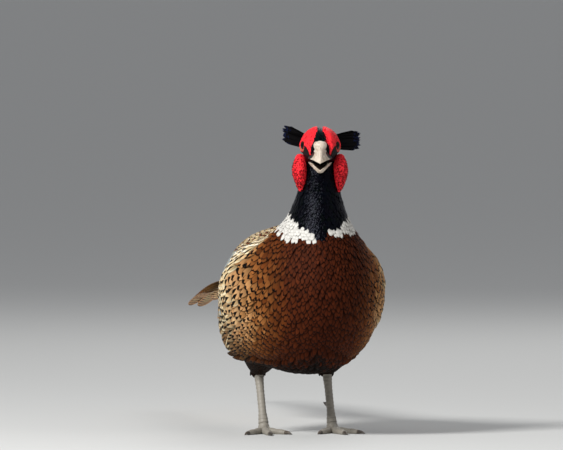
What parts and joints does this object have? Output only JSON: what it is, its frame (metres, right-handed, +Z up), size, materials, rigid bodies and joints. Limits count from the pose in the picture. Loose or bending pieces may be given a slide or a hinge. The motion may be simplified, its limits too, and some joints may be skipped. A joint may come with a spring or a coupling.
{
  "type": "standing cock pheasant",
  "caption": "Life-size still model of a standing cock pheasant, head turned aside, with red face, white neck ring and long pointed tail, for a display or an outdoor scene.",
  "frame": {"origin": "on the ground, under the middle of the bounding box; that is behind the feet, because of the long tail", "axes": "+Z up; the bird faces -Y and its tail runs along +Y; +X is the bird's left side"},
  "size_m": [0.1712, 0.769, 0.31],
  "materials": {
    "plumage_chestnut": "glossy chestnut feathers",
    "plumage_black": "blue-black feathers with a sheen",
    "plumage_dark": "dull black-brown feathers",
    "plumage_wing": "buff and brown feathers",
    "plumage_tail": "barred buff feathers",
    "red_skin": "finely warty bare skin",
    "bill_horn": "pale horn",
    "claw_horn": "dark horn",
    "eye": "wet dark eye",
    "leg_scales": "grey scaled skin"
  },
  "bodies": {
    "root": {"torso": "plumage_chestnut", "neck": "plumage_black", "tail": "plumage_tail", "head": "plumage_black", "bill_upper": "bill_horn", "bill_lower": "bill_horn", "wing_right": "plumage_wing", "wing_left": "plumage_wing", "eye_right": "eye", "eye_left": "eye", "comb_right": "red_skin", "comb_left": "red_skin", "wattle_right": "red_skin", "wattle_left": "red_skin", "ear_tuft_right": "plumage_black", "ear_tuft_left": "plumage_black", "thigh_right": "plumage_dark", "thigh_left": "plumage_dark", "shank_right": "leg_scales", "shank_left": "leg_scales", "spur_right": "claw_horn", "spur_left": "claw_horn", "foot_right": "leg_scales", "foot_left": "leg_scales", "claw_right_1": "claw_horn", "claw_right_2": "claw_horn", "claw_right_3": "claw_horn", "claw_right_4": "claw_horn", "claw_left_1": "claw_horn", "claw_left_2": "claw_horn", "claw_left_3": "claw_horn", "claw_left_4": "claw_horn"}
  },
  "joints": []
}
